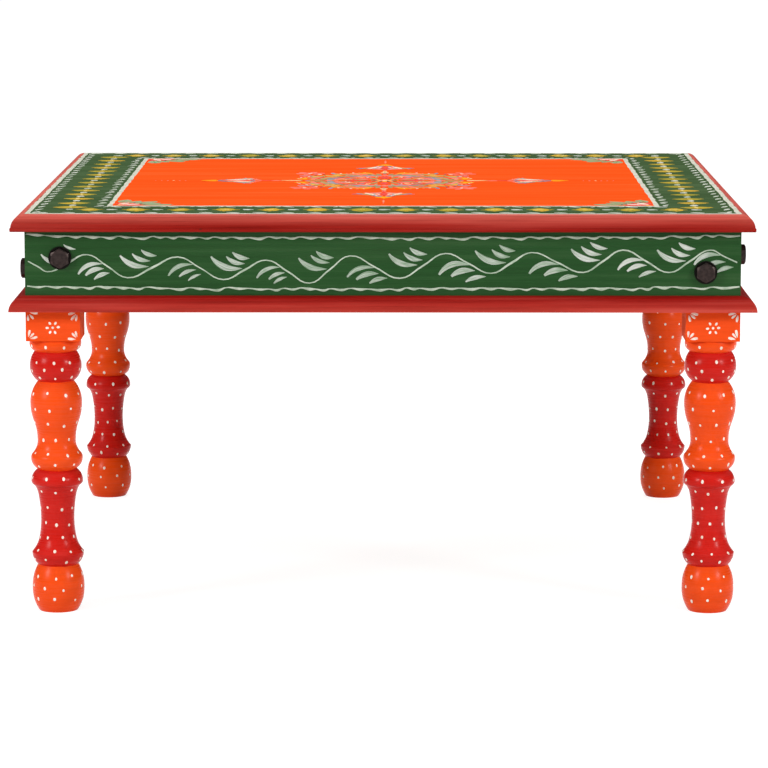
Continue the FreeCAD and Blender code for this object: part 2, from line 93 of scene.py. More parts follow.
ORANGE = rgb(246, 84, 26)
LEG_ORANGE = rgb(246, 80, 22)
LEG_RED = rgb(206, 30, 22)
# Red of the top strips, paler towards their upper edge: a painted highlight of the light from above
TOP_MOULDING_RED = rgb(152, 26, 18)
TOP_MOULDING_HIGHLIGHT = rgb(200, 86, 74)
# Red of the base strips, darker in their upper part and paler at their foot: painted shade under the
# overhang and painted light from the front
BASE_MOULDING_RED = rgb(152, 20, 14)
BASE_MOULDING_LIT = rgb(188, 60, 50)
RAIL_GREEN = rgb(38, 79, 38)
BORDER_GREEN = rgb(66, 89, 57)
WHITE = rgb(212, 216, 208)
LINE_WHITE = rgb(200, 212, 194)
THIN_WHITE = rgb(116, 150, 114)
TOP_LINE_WHITE = rgb(208, 206, 192)
TOP_LINE_THIN = rgb(164, 178, 156)
DOT_WHITE = rgb(255, 250, 238)
YELLOW = rgb(198, 164, 58)
OLIVE = rgb(134, 136, 56)
GOLD = rgb(252, 172, 44)
PINK = rgb(250, 138, 124)
ROSE = rgb(230, 84, 88)
BLUE = rgb(164, 163, 177)
SLATE = rgb(124, 124, 138)
TEAL = rgb(96, 170, 128)
SAGE = rgb(158, 164, 112)
LEAF = rgb(118, 138, 84)
MIST = rgb(156, 170, 136)
CREAM = rgb(236, 214, 150)
TOP_SPECK = rgb(150, 60, 30)
MOULDING_SPECK = rgb(70, 30, 20)
RAIL_SPECK = rgb(110, 130, 90)
BOLT_IRON = (rgb(46, 37, 36), rgb(70, 58, 55))
WASHER_IRON = (rgb(16, 14, 12), rgb(30, 26, 22))
PALE_WOOD = rgb(196, 150, 100)
DARK_WOOD = rgb(140, 92, 54)

# How strongly each kind of paint shines, and how rough the dull ones are
MATT = 0.0
MOULDING_SHINE = 0.06
RAIL_SHINE = 0.1
LEG_SHINE = 0.11
STROKE_SHINE = 0.2
STROKE_ROUGHNESS = 0.45
BLOCK_ROUGHNESS = 0.8
MOULDING_EXTRA_ROUGHNESS = 0.3
# How far paint reaches past an edge
PAINT_PAST_EDGE = 1.5 * MM
PAINT_PAST_JOINT = 0.2 * MM


# Building shader trees

class Graph:
    """A shader tree that is wired up as its nodes are added."""

    def __init__(self, tree):
        self.tree = tree

    def add(self, kind, inputs=None, **settings):
        node = self.tree.nodes.new(kind)
        for name, value in settings.items():
            setattr(node, name, value)
        for name, value in (inputs or {}).items():
            self.feed(node.inputs[name], value)
        return node

    def feed(self, socket, value):
        if isinstance(value, bpy.types.NodeSocket):
            self.tree.links.new(value, socket)
        else:
            socket.default_value = value

    def math(self, operation, first, second=0.0, clamp=False):
        node = self.add("ShaderNodeMath", {0: first, 1: second}, operation=operation, use_clamp=clamp)
        return node.outputs[0]

    def mix(self, factor, first, second, blend="MIX"):
        inputs = {0: factor, 6: first, 7: second}
        return self.add("ShaderNodeMix", inputs, data_type="RGBA", blend_type=blend).outputs[2]

    def remap(self, value, low, high, to_low=0.0, to_high=1.0):
        names = {"Value": value, "From Min": low, "From Max": high, "To Min": to_low, "To Max": to_high}
        return self.add("ShaderNodeMapRange", names).outputs[0]

    def noise(self, place, scale=1.0, detail=3.0, roughness=0.5):
        names = {"Vector": place, "Scale": scale, "Detail": detail, "Roughness": roughness}
        return self.add("ShaderNodeTexNoise", names).outputs["Fac"]

    def scaled(self, place, scale):
        return self.add("ShaderNodeMapping", {"Vector": place, "Scale": scale}).outputs[0]

    def parts(self, vector):
        return self.add("ShaderNodeSeparateXYZ", {"Vector": vector}).outputs

    def give(self, made, **values):
        for name, value in values.items():
            self.feed(made.inputs[name], value)

    def group(self, tree, inputs):
        return self.add("ShaderNodeGroup", inputs, node_tree=tree)


def new_group(name, inputs, outputs):
    """An empty node group with named sockets. Returns its tree, graph, input sockets and output node."""
    tree = bpy.data.node_groups.new(name, "ShaderNodeTree")
    for direction, sockets in (("INPUT", inputs), ("OUTPUT", outputs)):
        for label, kind in sockets.items():
            tree.interface.new_socket(name=label, in_out=direction, socket_type=f"NodeSocket{kind}")
    graph = Graph(tree)
    return tree, graph, graph.add("NodeGroupInput").outputs, graph.add("NodeGroupOutput")


# What a finish is made of
FINISH = {"Colour": "Color", "Roughness": "Float", "Height": "Float"}


def brushed_paint_group():
    """Paint laid on with a flat brush: fine streaks, cloudy patches and a little relief."""
    inputs = {"Colour": "Color", "Brush": "Vector", "Contrast": "Float"}
    tree, graph, given, made = new_group("brushed_paint", inputs, FINISH)
    brush = given["Brush"]
    plain = given["Colour"]
    streak = graph.noise(brush, detail=4.0, roughness=0.62)
    sweep = graph.noise(graph.scaled(brush, (0.4, 0.3, 0.3)), detail=2.0)
    patch = graph.noise(graph.scaled(brush, (0.23, 0.05, 0.05)), detail=2.0)
    dark = graph.mix(1.0, plain, (0.62, 0.56, 0.52, 1), "MULTIPLY")
    fresh = graph.mix(1.0, plain, (1.2, 1.3, 1.25, 1), "MULTIPLY")
    light = graph.mix(0.03, fresh, (1.0, 0.8, 0.66, 1))
    streaks = graph.remap(streak, 0.46, 0.78, 0.0, 0.7)
    patches = graph.remap(patch, 0.5, 0.75, 0.0, 0.6)
    deep = graph.math("ADD", streaks, graph.remap(sweep, 0.5, 0.75, 0.0, 0.6))
    bright = graph.math("ADD", patches, graph.remap(sweep, 0.5, 0.25, 0.0, 0.7))
    shade = graph.math("MULTIPLY", deep, given["Contrast"], True)
    shine = graph.math("MULTIPLY", bright, given["Contrast"], True)
    colour = graph.mix(shine, graph.mix(shade, plain, dark), light)
    graph.give(made, Colour=colour, Roughness=graph.remap(streak, 0.3, 0.7, 0.2, 0.36), Height=streak)
    return tree


def specks_group():
    """Tiny chips and grains in the paint, here and there."""
    inputs = {"Colour": "Color", "Speck": "Color", "Place": "Vector"}
    tree, graph, given, made = new_group("specks", inputs, {"Colour": "Color"})
    cells = graph.add("ShaderNodeTexVoronoi", {"Vector": given["Place"], "Scale": 90.0}).outputs
    chance = graph.add("ShaderNodeSeparateColor", {"Color": cells["Color"]}).outputs[0]
    inside = graph.math("LESS_THAN", cells["Distance"], graph.remap(chance, 0.9, 1.0, 0.0, 0.11))
    share = graph.math("MULTIPLY", inside, 0.6)
    graph.give(made, Colour=graph.mix(share, given["Colour"], given["Speck"]))
    return tree


def bare_wood_group():
    """Planed timber with its grain along the first axis of the place that it is given."""
    tree, graph, given, made = new_group("bare_wood", {"Place": "Vector"}, FINISH)
    fibre = graph.noise(graph.scaled(given["Place"], (14, 900, 900)), detail=4.0, roughness=0.6)
    figure = graph.noise(graph.scaled(given["Place"], (5, 70, 70)), detail=3.0)
    band = graph.math("FRACT", graph.math("MULTIPLY", figure, 9.0))
    tone = graph.math("ADD", graph.math("MULTIPLY", fibre, 0.6), graph.math("MULTIPLY", band, 0.4))
    colour = graph.mix(graph.remap(tone, 0.25, 0.8), PALE_WOOD, DARK_WOOD)
    graph.give(made, Colour=colour, Roughness=graph.remap(fibre, 0.2, 0.8, 0.6, 0.8), Height=fibre)
    return tree


def bristle_group():
    """One stroke of a loaded brush: thick paint in streaks along it, thinner towards its tail."""
    inputs = {"Thick": "Color", "Thin": "Color", "Along": "Vector", "Place": "Vector"}
    tree, graph, given, made = new_group("bristles", inputs, {"Colour": "Color"})
    hairs = graph.scaled(given["Along"], (1.2, 9.0, 1.0))
    spread = graph.scaled(given["Place"], (60, 60, 60))
    drift = graph.add("ShaderNodeVectorMath", {0: hairs, 1: spread}, operation="ADD").outputs[0]
    streak = graph.noise(drift, detail=2.0)
    load = graph.remap(graph.noise(given["Place"], 24.0, 1.0), 0.35, 0.65, -0.25, 0.4)
    worn = graph.math("ADD", graph.remap(streak, 0.4, 0.66), load)
    dry = graph.math("ADD", worn, graph.remap(graph.parts(given["Along"])[0], 0.45, 1.0, 0.0, 0.3))
    thinned = graph.math("MULTIPLY", dry, 0.75, True)
    graph.give(made, Colour=graph.mix(thinned, given["Thick"], given["Thin"]))
    return tree


BRUSHED_PAINT = brushed_paint_group()
SPECKS = specks_group()
BARE_WOOD = bare_wood_group()
BRISTLES = bristle_group()


# Materials

def new_material(name):
    """A material with an empty tree. Returns it with its graph and its object coordinates."""
    material = bpy.data.materials.new(name)
    material.use_nodes = True
    material.node_tree.nodes.clear()
    graph = Graph(material.node_tree)
    place = graph.add("ShaderNodeTexCoord").outputs["Object"]
    return material, graph, place


def finish_shader(graph, colour, roughness, height=None, depth=0.06 * MM, metallic=0.0, specular=0.25):
    """The shader of a material, with relief from a height where there is one."""
    shader = graph.add("ShaderNodeBsdfPrincipled", {"Base Color": colour, "Roughness": roughness})
    shader.inputs["Metallic"].default_value = metallic
    shader.inputs["Specular IOR Level"].default_value = specular
    if height is not None:
        bump = graph.add("ShaderNodeBump", {"Height": height, "Distance": depth, "Strength": 1.0})
        graph.feed(shader.inputs["Normal"], bump.outputs[0])
    graph.feed(graph.add("ShaderNodeOutputMaterial").inputs["Surface"], shader.outputs[0])
    return shader


def brush_scale(turn):
    """Streaks 70 mm long and about a millimetre wide, along X or, a quarter turn on, along Y."""
    along, across = 1 / 0.07, 1 / 0.0013
    return (along, across, across) if turn % 2 == 0 else (across, along, across)


# Streaks round a leg, 30 mm long and 1.6 mm wide
LEG_BRUSH = (1 / 0.03, 1 / 0.03, 1 / 0.0016)


def grain_turn(graph, place, turn):
    """The place with its first axis along the grain of a front piece or of a side piece."""
    inputs = {"Vector": place, "Rotation": (0, 0, QUARTER * (turn % 2))}
    return graph.add("ShaderNodeMapping", inputs).outputs[0]


def outside_share(graph, place):
    """How far out a point lies in plan, as the larger of its distances along X and Y, and its height."""
    parts = graph.parts(place)
    distances = [graph.math("ABSOLUTE", part) for part in parts[:2]]
    return graph.math("MAXIMUM", *distances), parts[2]


def brushed(graph, place, scale, colour, contrast, speck=None):
    """Brushed paint, with specks where they have a colour. Returns its colour, roughness and height."""
    inputs = {"Colour": colour, "Brush": graph.scaled(place, scale), "Contrast": contrast}
    shown, roughness, height = graph.group(BRUSHED_PAINT, inputs).outputs
    if speck:
        shown = graph.group(SPECKS, {"Colour": shown, "Speck": speck, "Place": place}).outputs[0]
    return shown, roughness, height


def painted_or_bare(graph, bare, paint, grain):
    """Choose between the colour, roughness and height of a paint and those of bare wood."""
    wood = graph.group(BARE_WOOD, {"Place": grain})
    return [graph.mix(bare, painted, planed) for painted, planed in zip(paint, wood.outputs)]


def top_paint():
    """The painted boards of the top: an orange field in a green border, bare wood underneath."""
    material, graph, place = new_material("top_paint")
    out, _ = outside_share(graph, place)
    border = graph.math("GREATER_THAN", out, FIELD_HALF + LINE_WIDTH / 2)
    colour = graph.mix(border, ORANGE, BORDER_GREEN)
    paint = brushed(graph, place, brush_scale(0), colour, contrast=0.6, speck=TOP_SPECK)
    upwards = graph.parts(graph.add("ShaderNodeNewGeometry").outputs["Normal"])[2]
    bare = graph.math("LESS_THAN", upwards, -0.5)
    finish_shader(graph, *painted_or_bare(graph, bare, paint, place), specular=MATT)
    return material


# The front strip's box, its plain and its paler red, and at which shares of its height each is reached: the
# paler red is a painted highlight along the top of the top strips, and painted light at the foot of the base
# strips, whose upper part is painted shade
MOULDINGS = {
    "top": (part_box("top_moulding_front"), TOP_MOULDING_RED, TOP_MOULDING_HIGHLIGHT, 0.36, 1.0),
    "base": (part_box("base_moulding_front"), BASE_MOULDING_RED, BASE_MOULDING_LIT, 0.8, 0.0),
}
BRUSHED_ALONG = ("along_front", "along_side")


def moulding_paint(moulding, turn):
    """Red paint, brushed along a strip, that pales from one level of its height to another: a painted
    highlight towards the top of a top strip, and on a base strip painted shade above and painted light
    towards its foot.
    """
    (low, high), fresh, lit_red, deep, edge = MOULDINGS[moulding]
    levels = [low[2] + share * (high[2] - low[2]) for share in (deep, edge)]
    material, graph, place = new_material(f"{moulding}_moulding_{BRUSHED_ALONG[turn]}")
    # Painted light and shade: the red pales by height from the plain red towards the paler red of the lit
    # part
    colour = graph.mix(graph.remap(graph.parts(place)[2], *levels), fresh, lit_red)
    paint = brushed(graph, place, brush_scale(turn), colour, contrast=1.1, speck=MOULDING_SPECK)
    shown, sheen, height = paint
    roughness = graph.math("ADD", sheen, MOULDING_EXTRA_ROUGHNESS)
    finish_shader(graph, shown, roughness, height, depth=0.09 * MM, specular=MOULDING_SHINE)
    return material


def rail_paint(turn):
    """Dark green paint outside, bare wood inside."""
    material, graph, place = new_material(f"rail_paint_{BRUSHED_ALONG[turn]}")
    out, _ = outside_share(graph, place)
    paint = brushed(graph, place, brush_scale(turn), RAIL_GREEN, contrast=0.6, speck=RAIL_SPECK)
    bare = graph.math("LESS_THAN", out, FACE - PAINT_PAST_EDGE)
    grain = grain_turn(graph, place, turn)
    finish_shader(graph, *painted_or_bare(graph, bare, paint, grain), specular=RAIL_SHINE)
    return material


def leg_paint():
    """Orange and red lengths of a leg, brushed round it, and bare wood on the post inside the rails."""
    material, graph, place = new_material("leg_paint")
    _, height = outside_share(graph, place)
    wobble = graph.remap(graph.noise(place, 45.0), 0.3, 0.7, -0.35 * MM, 0.35 * MM)
    level = graph.math("ADD", height, wobble)
    tops = (FOOT_TOP, SPOOL_TOP, VASE_TOP, BEAD_TOP)
    below_foot, below_spool, below_vase, below_bead = [graph.math("LESS_THAN", level, top) for top in tops]
    spool = graph.math("SUBTRACT", below_spool, below_foot)
    bead = graph.math("SUBTRACT", below_bead, below_vase)
    colour = graph.mix(graph.math("ADD", spool, bead), LEG_ORANGE, LEG_RED)
    shown, sheen, relief = brushed(graph, place, LEG_BRUSH, colour, contrast=0.24)
    block = graph.math("GREATER_THAN", height, BLOCK_FOOT - PAINT_PAST_JOINT)
    roughness = graph.mix(block, sheen, (*[BLOCK_ROUGHNESS] * 3, 1))
    bare = graph.math("GREATER_THAN", height, RAIL_FOOT + PAINT_PAST_JOINT)
    upright = graph.add("ShaderNodeMapping", {"Vector": place, "Rotation": (0, QUARTER, 0)}).outputs[0]
    finish = painted_or_bare(graph, bare, (shown, roughness, relief), upright)
    finish_shader(graph, *finish, depth=0.01 * MM, specular=LEG_SHINE)
    return material


def wood_material():
    """Bare timber of the cleats and battens."""
    material, graph, place = new_material("bare_wood")
    finish_shader(graph, *graph.group(BARE_WOOD, {"Place": grain_turn(graph, place, 1)}).outputs)
    return material


def iron_material(name, dark, light):
    """Dark iron, a little uneven."""
    material, graph, place = new_material(name)
    blotch = graph.noise(place, 380.0, 4.0, 0.6)
    colour = graph.mix(graph.remap(blotch, 0.35, 0.7), dark, light)
    finish_shader(graph, colour, graph.remap(blotch, 0.3, 0.7, 0.3, 0.5), blotch, 0.1 * MM, metallic=0.75)
    return material


def steel_material():
    """Plain zinc-grey steel of the nuts, washers and screws."""
    material, graph, place = new_material("plain_steel")
    blotch = graph.noise(place, 700.0, 3.0)
    colour = graph.mix(blotch, rgb(150, 150, 148), rgb(182, 182, 178))
    finish_shader(graph, colour, graph.remap(blotch, 0.3, 0.7, 0.3, 0.45), metallic=1.0)
    return material


def stroke_paint(name, thick, thin, specular=STROKE_SHINE):
    """Paint of a stroke whose bristle marks follow its own length."""
    material, graph, place = new_material(name)
    along = graph.add("ShaderNodeUVMap").outputs[0]
    stroke = graph.group(BRISTLES, {"Thick": thick, "Thin": thin, "Along": along, "Place": place})
    finish_shader(graph, stroke.outputs[0], STROKE_ROUGHNESS, specular=specular)
    return material


def line_paint(name, thick, thin, specular=STROKE_SHINE):
    """Paint of a long line, which thins out here and there."""
    material, graph, place = new_material(name)
    fade = graph.noise(place, 110.0, 3.0)
    colour = graph.mix(graph.remap(fade, 0.42, 0.75, 0.0, 0.8), thick, thin)
    finish_shader(graph, colour, STROKE_ROUGHNESS, specular=specular)
    return material


def dress_cad_nodes():
    """Give every node of the frame its finish."""
    mouldings = {name: [moulding_paint(name, turn) for turn in range(2)] for name in MOULDINGS}
    rails = [rail_paint(turn) for turn in range(2)]
    finishes = {"top_paint": top_paint(), "leg_paint": leg_paint(), "bare_wood": wood_material(),
                "black_iron": iron_material("bolt_iron", *BOLT_IRON), "plain_steel": steel_material()}
    washers = iron_material("washer_iron", *WASHER_IRON)
    for row in frame["record"]["subparts"]:
        name = row["node"]
        slot = row["material_slot"]
        turn = 1 if name.endswith(("_left", "_right")) else 0
        if slot == "moulding_paint":
            finish = mouldings[name.split("_")[0]][turn]
        elif slot == "rail_paint":
            finish = rails[turn]
        elif name == "head_washers":
            finish = washers
        else:
            finish = finishes[slot]
        node = frame["nodes"][name]
        node.data.materials.clear()
        node.data.materials.append(finish)


# Modelling strokes of paint

def deselect_all():
    if bpy.context.object and bpy.context.object.mode != "OBJECT":
        bpy.ops.object.mode_set(mode="OBJECT")
    bpy.ops.object.select_all(action="DESELECT")


def pick(piece, chosen):
    """Select the vertices of a piece that pass a test of their place, in edit mode."""
    bpy.ops.object.mode_set(mode="EDIT")
    bpy.ops.mesh.select_mode(type="VERT")
    bpy.ops.mesh.select_all(action="DESELECT")
    bpy.ops.object.mode_set(mode="OBJECT")
    for vertex in piece.data.vertices:
        vertex.select = chosen(vertex.co)
    bpy.ops.object.mode_set(mode="EDIT")


def apply_modifier(piece, kind, **settings):
    modifier = piece.modifiers.new(kind.lower(), kind)
    for name, value in settings.items():
        setattr(modifier, name, value)
    bpy.ops.object.modifier_apply(modifier=modifier.name)


def leaf_width(share, blunt, widest):
    """The width of a brush stroke along it: a head, as blunt as given, then a taper from its widest."""
    head = blunt + (1 - blunt) * math.sin(min(share / widest, 1.0) * QUARTER)
    tail = 1 - max(0.0, (share - widest) / (1 - widest)) ** 1.6
    return max(head * tail, 0.06)


def brush_stroke(name, slimness, bend, columns, rows, blunt=0.42, widest=0.36):
    """A stroke of unit chord along X, from its rounded head at the origin to its pointed tail.
    Slimness is its width as a share of its length, bend is how far it turns on the way, blunt is the width
    of its head as a share of the whole, and widest is where along it the stroke is widest."""
    deselect_all()
    bpy.ops.mesh.primitive_grid_add(x_subdivisions=columns, y_subdivisions=rows, size=1)
    stroke = bpy.context.object
    stroke.name = name
    levels = sorted({round(vertex.co.x, 5) for vertex in stroke.data.vertices})
    for level in levels:
        pick(stroke, lambda place, level=level: abs(place.x - level) < 1e-4)
        width = slimness * leaf_width(level + 0.5, blunt, widest)
        bpy.ops.transform.resize(value=(1, width, 1), center_override=(level, 0, 0))
    pick(stroke, lambda place: abs(place.y) < slimness * 0.2 and abs(place.x) < 0.49)
    bpy.ops.transform.translate(value=(0, 0, STROKE_RIDGE))
    bpy.ops.object.mode_set(mode="OBJECT")
    head = [vertex.index for vertex in stroke.data.vertices if vertex.co.x < -0.499]
    tail = [vertex.index for vertex in stroke.data.vertices if vertex.co.x > 0.499]
    if bend:
        apply_modifier(stroke, "SIMPLE_DEFORM", deform_method="BEND", deform_axis="Z", angle=bend,
                       limits=(0.0, 0.8))
    start = sum((stroke.data.vertices[index].co for index in head), Vector()) / len(head)
    end = sum((stroke.data.vertices[index].co for index in tail), Vector()) / len(tail)
    chord = end - start
    turn = Matrix.Rotation(-math.atan2(chord.y, chord.x), 4, "Z")
    size = Matrix.Diagonal((1 / chord.length, 1 / chord.length, 1, 1))
    stroke.data.transform(size @ turn @ Matrix.Translation((-start.x, -start.y, STROKE_EDGE)))
    apply_modifier(stroke, "SOLIDIFY", thickness=STROKE_EDGE + SINK, offset=-1.0)
    return stroke


def paint_dab():
    """A dab of thick paint, one unit across, with a flat underside."""
    deselect_all()
    bpy.ops.mesh.primitive_uv_sphere_add(segments=10, ring_count=6, radius=0.5)
    dab = bpy.context.object
    dab.name = "dab"
    bpy.ops.object.mode_set(mode="EDIT")
    bpy.ops.mesh.select_all(action="SELECT")
    bpy.ops.mesh.bisect(plane_co=(0, 0, 0), plane_no=(0, 0, 1), use_fill=True, clear_inner=True)
    bpy.ops.mesh.select_all(action="SELECT")
    bpy.ops.transform.resize(value=(1, 1, 2 * RELIEF), center_override=(0, 0, 0))
    bpy.ops.transform.translate(value=(0, 0, -SINK))
    bpy.ops.object.mode_set(mode="OBJECT")
    return dab


def stamp(template, places):
    """Copies of a template, each with its own mesh, moved to its place."""
    copies = []
    for place in places:
        copy = template.copy()
        copy.data = template.data.copy()
        copy.data.transform(place)
        if place.determinant() < 0:
            copy.data.flip_normals()
        bpy.context.scene.collection.objects.link(copy)
        copies.append(copy)
    return copies


def join(name, pieces, material):
    """Join pieces of one colour, and finish them as one piece that rides on the table."""
    deselect_all()
    for piece in pieces:
        piece.select_set(True)
    bpy.context.view_layer.objects.active = pieces[0]
    bpy.ops.object.join()
    piece = bpy.context.object
    piece.name = name
    piece.data.name = name
    piece.data.materials.clear()
    piece.data.materials.append(material)
    bpy.ops.object.shade_smooth_by_angle(angle=math.radians(50))
    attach(piece, "root")
    return piece


def remove(*pieces):
    for piece in pieces:
        bpy.data.objects.remove(piece)


def stroke_place(head, tail, width=1.0):
    """Where a unit stroke goes to run from one point of a plane to another."""
    run = Vector(tail) - Vector(head)
    turn = Matrix.Rotation(math.atan2(run.y, run.x), 4, "Z")
    size = Matrix.Diagonal((run.length, run.length * width, 1, 1))
    return Matrix.Translation((head[0], head[1], 0)) @ turn @ size


def dab_place(middle, width, height=None, turn=0.0):
    """Where a dab of paint goes on a plane, and its two widths."""
    size = Matrix.Diagonal((width, height or width, 1, 1))
    return Matrix.Translation((middle[0], middle[1], 0)) @ Matrix.Rotation(turn, 4, "Z") @ size


def painted_line(name, points, half_widths):
    """A line drawn with the brush on a plane, through points with their own half widths."""
    curve = bpy.data.curves.new(name, "CURVE")
    curve.dimensions = "3D"
    curve.bevel_depth = 1.0
    curve.bevel_resolution = 1
    curve.resolution_u = 5
    curve.use_fill_caps = True
    spline = curve.splines.new("BEZIER")
    spline.bezier_points.add(len(points) - 1)
    for knot, point, half_width in zip(spline.bezier_points, points, half_widths):
        knot.co = (point[0], point[1], 0)
        knot.handle_left_type = "AUTO"
        knot.handle_right_type = "AUTO"
        knot.radius = half_width
    deselect_all()
    line = bpy.data.objects.new(name, curve)
    bpy.context.scene.collection.objects.link(line)
    line.select_set(True)
    bpy.context.view_layer.objects.active = line
    bpy.ops.object.convert(target="MESH")
    line = bpy.context.object
    flat = LINE_RELIEF / max(half_widths)
    line.data.transform(Matrix.Diagonal((1, 1, flat, 1)))
    return line


def wall(turn):
    """The outer face of a rail: X along it, Y up from its foot, Z outwards."""
    front = Matrix.Translation((0, -FACE, RAIL_FOOT)) @ Matrix.Rotation(QUARTER, 4, "X")
    return Matrix.Rotation(turn * QUARTER, 4, "Z") @ front


# How far from its middle the ornament of a rail ends, in millimetres, and the heights of its edge lines
VINE_END = 262
EDGE_HEIGHTS = (53.6, 15.9)
# The vine on the rails, in millimetres along a rail from its middle and up from its foot
VINE_TURNS = (
    (-261.2, 36.5), (-246.8, 28.7), (-217.7, 41.4), (-187.9, 24.3), (-150.8, 39.7), (-117.3, 23.0),
    (-85.7, 37.4), (-53.9, 20.4), (-24.1, 40.6), (12.6, 24.0), (46.2, 42.4), (79.7, 27.7),
    (109.4, 43.1), (147.5, 28.4), (176.5, 45.0), (210.8, 28.4), (240.7, 45.0), (260.6, 35.8),
)
# Leaves in a spray: where the tail lies from the middle of the stem's slope, and the way to the head
LEAVES_UNDER_CREST = (
    ((-5.4, 3.0), (-17.5, -8.2)),
    ((-3.4, -1.2), (-12.4, -5.2)),
    ((0.0, -4.3), (-9.8, -4.9)),
)
LEAVES_OVER_TROUGH = (
    ((-3.2, 0.5), (-22.0, 8.5)),
    ((-0.4, 4.8), (-14.2, 5.6)),
    ((4.0, 8.9), (-12.2, 4.5)),
)
# How wide each spray under a crest is spread, from left to right along the front
CREST_SPREADS = (0.2, 0.0, 0.0, 0.7, 0.9, 1.0, 0.5, 0.6)
# How much further out the leaves of a fully spread spray lie, and how much further their heads reach
SPREAD_UNDER_CREST = ((6.6, -4.4), (10.0, -4.6), (14.0, -5.6))
REACH_WHERE_SPREAD = (-4.8, 1.4)
# The spray beside the first bolt: its leaves' lengths as shares of the others', and how far they move
REACH_BESIDE_BOLT = (0.74, 1.0, 0.74)
SHIFT_BESIDE_BOLT = ((1.2, -0.6), (0.0, 0.0), (3.4, 1.5))


def vine_sprays(draw, turn):
    """The kind of stroke, head and tail of every leaf on a rail."""
    leaves = []
    for number, (here, there) in enumerate(zip(VINE_TURNS[1:], VINE_TURNS[2:])):
        middle = (Vector(here) + Vector(there)) / 2
        falling = there[1] < here[1]
        spray = LEAVES_UNDER_CREST if falling else LEAVES_OVER_TROUGH
        crest = number // 2 + 3 * turn
        spread = CREST_SPREADS[crest % len(CREST_SPREADS)] if falling else 0.0
        for rank, (tail_shift, way) in enumerate(spray):
            tail = middle + Vector(tail_shift) + Vector(SPREAD_UNDER_CREST[rank]) * spread
            tail += Vector((draw.uniform(-1.2, 1.2), draw.uniform(-0.5, 0.5)))
            reach = draw.uniform(0.94, 1.06)
            if number == 0:
                tail += Vector(SHIFT_BESIDE_BOLT[rank])
                reach *= REACH_BESIDE_BOLT[rank]
            head = tail + (Vector(way) + Vector(REACH_WHERE_SPREAD) * spread) * reach
            under_bolt = number == 0 and rank == 1
            if head.x > -VINE_END and tail.x < VINE_END and not under_bolt:
                leaves.append(((falling, rank), head * MM, tail * MM))
    return leaves


# Bends in degrees, widths as shares of the length, and how blunt the heads are, of the leaves in a spray
LEAF_SHAPES = {
    True: ((-66, 0.155, 0.36), (-44, 0.215, 0.4), (-34, 0.225, 0.3)),
    False: ((52, 0.165, 0.26), (48, 0.21, 0.18), (44, 0.235, 0.18)),
}
LEAF_WIDEST = 0.5


def leaf_templates():
    """The three leaves of a spray, bent up for under a crest and bent down for over a trough."""
    templates = {}
    for falling, shapes in LEAF_SHAPES.items():
        for rank, (bend, slimness, blunt) in enumerate(shapes):
            turn = math.radians(bend)
            templates[falling, rank] = brush_stroke("leaf", slimness, turn, 10, 4, blunt, LEAF_WIDEST)
    return templates


def paint_rails():
    """A vine between two uneven lines on every rail."""
    white_strokes = stroke_paint("white_strokes", WHITE, THIN_WHITE)
    white_lines = line_paint("white_lines", LINE_WHITE, THIN_WHITE)
    templates = leaf_templates()
    for turn, side in enumerate(SIDES):
        draw = random.Random(VINE_SEED + turn)
        face = wall(turn)
        leaves = []
        for kind, head, tail in vine_sprays(draw, turn):
            leaves += stamp(templates[kind], [face @ stroke_place(head, tail, draw.uniform(0.88, 1.12))])
        join(f"vine_leaves_{side}", leaves, white_strokes)
        lines = [vine_stem(draw)]
        lines += [edge_line(draw, height) for height in EDGE_HEIGHTS]
        for line in lines:
            line.data.transform(face)
        join(f"vine_lines_{side}", lines, white_lines)
    remove(*templates.values())


def vine_stem(draw):
    """The wavy stem, thicker where it rises than where it falls, and thin at its turns."""
    points = []
    half_widths = []
    for here, there in zip(VINE_TURNS, VINE_TURNS[1:]):
        slope = draw.uniform(0.58, 0.9) if there[1] > here[1] else draw.uniform(0.36, 0.64)
        points += [here, ((here[0] + there[0]) / 2, (here[1] + there[1]) / 2)]
        half_widths += [draw.uniform(0.34, 0.5) * MM, slope * MM]
    points.append(VINE_TURNS[-1])
    half_widths.append(0.5 * MM)
    return painted_line("stem", [Vector(point) * MM for point in points], half_widths)


def edge_line(draw, height):
    """A line of joined dashes along a rail, each thin where it starts and thicker and lower further on."""
    points = []
    half_widths = []
    along = -VINE_END
    while along < VINE_END - 12:
        dash = draw.uniform(9.5, 17)
        level = height + draw.uniform(-0.6, 0.6) + 2.2 * (along / VINE_END) ** 4
        points += [(along, level + 0.5), (along + dash * 0.6, level - 0.4)]
        half_widths += [draw.uniform(0.3, 0.42) * MM, draw.uniform(0.75, 1.15) * MM]
        along += dash
    points.append((VINE_END + 0.5, height + 2.0))
    half_widths.append(0.6 * MM)
    return painted_line("edge", [Vector(point) * MM for point in points], half_widths)


# Dots on the legs

# Rows of dots, by height in millimetres, and the dots in a row
DOT_ROWS = (10, 18.7, 27.5, 39.5, 46, 56.5, 66.5, 78.5, 91.5, 100.8, 111.5, 120, 130.7, 142, 154, 165.5,
            176.9, 182.8, 189.6, 200.3)
DOTS_ROUND = 8
# How far the flower on a block lies below the middle of its face, and how many petals it has
FLOWER_DROP = 1.4 * MM
FLOWER_PETALS = 6
# Which ways the sprigs in a corner of a block's face point, in radians from across
SPRIG_FAN = (0.14, 0.8, 1.42)
DOT_THIN = rgb(236, 200, 170)
SPRIG_THIN = rgb(240, 160, 130)


def surface_place(leg, origin, direction, width, height):
    """Where a dab goes on a leg, found by a line towards it, lying flat on the surface and upright."""
    hit, spot, normal, _ = leg.ray_cast(origin, direction)
    if not hit:
        return None
    across = Vector((0, 0, 1)).cross(normal).normalized()
    up = normal.cross(across)
    frame_matrix = Matrix((across, up, normal)).transposed().to_4x4()
    return Matrix.Translation(spot) @ frame_matrix @ Matrix.Diagonal((width, height, 1, 1))


